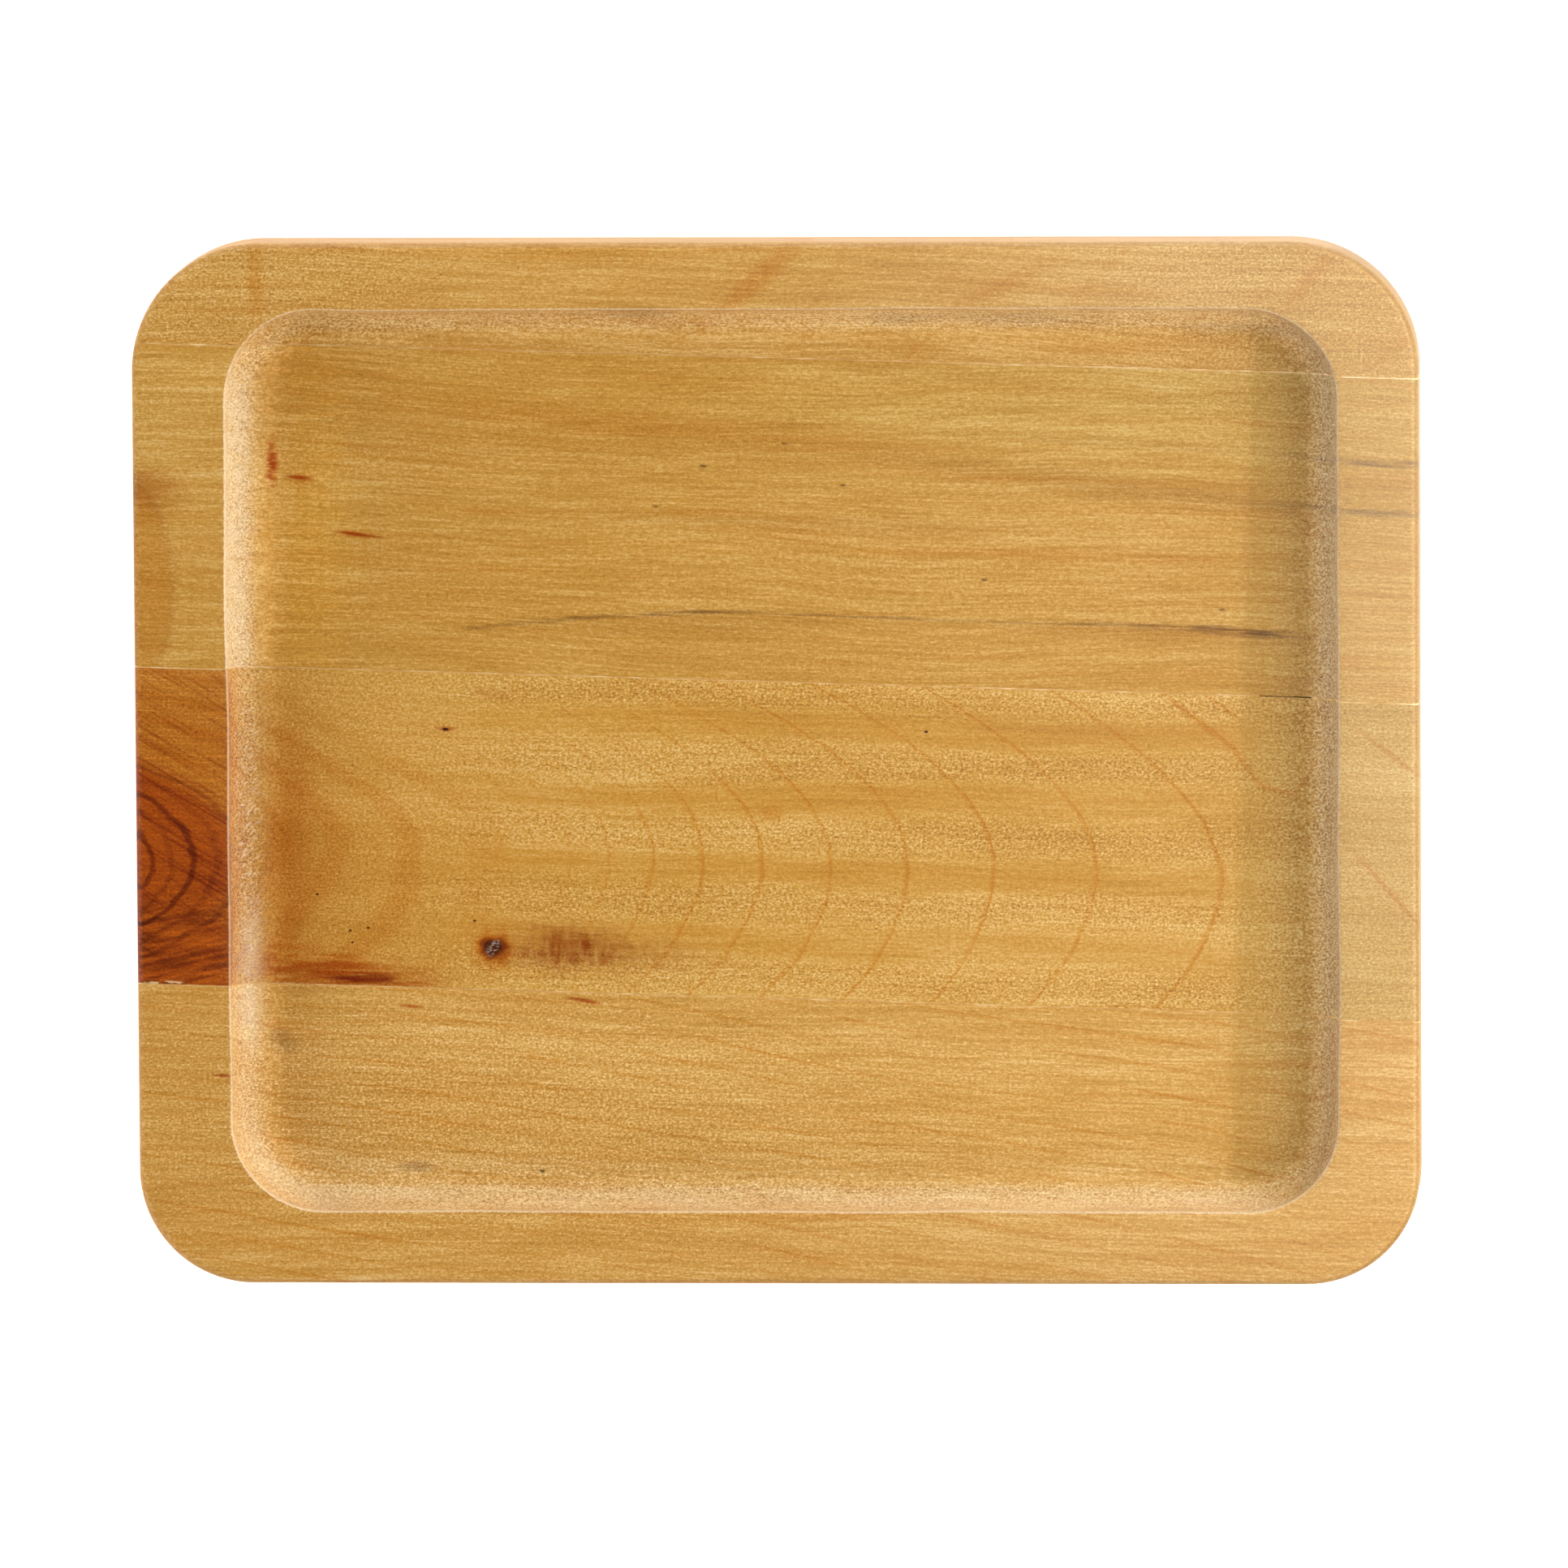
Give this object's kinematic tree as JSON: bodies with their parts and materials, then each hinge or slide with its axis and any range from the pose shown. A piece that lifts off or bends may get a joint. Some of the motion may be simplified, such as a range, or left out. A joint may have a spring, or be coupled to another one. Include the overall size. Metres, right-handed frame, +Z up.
{
  "type": "serving tray",
  "caption": "Rectangular solid-wood serving tray with rounded corners, a flat rim and a shallow coved well, made of edge-glued staves.",
  "frame": {"origin": "middle of the underside, on the surface the tray stands on", "axes": "+X along the long side, +Y towards the far long side, +Z up out of the well"},
  "size_m": [0.28, 0.228, 0.018],
  "materials": {
    "far_rim_wood": "satin clear finish, light golden",
    "far_middle_wood": "satin clear finish, golden, straight grain",
    "near_middle_wood": "satin clear finish, darker gold, arched grain, brown heartwood at one end",
    "near_rim_wood": "satin clear finish, light gold",
    "cured_glue": "thin pale film of cured wood glue"
  },
  "bodies": {
    "root": {"far_rim_stave": "far_rim_wood", "far_middle_stave": "far_middle_wood", "near_middle_stave": "near_middle_wood", "near_rim_stave": "near_rim_wood", "far_glue_line": "cured_glue", "middle_glue_line": "cured_glue", "near_glue_line": "cured_glue"}
  },
  "joints": []
}
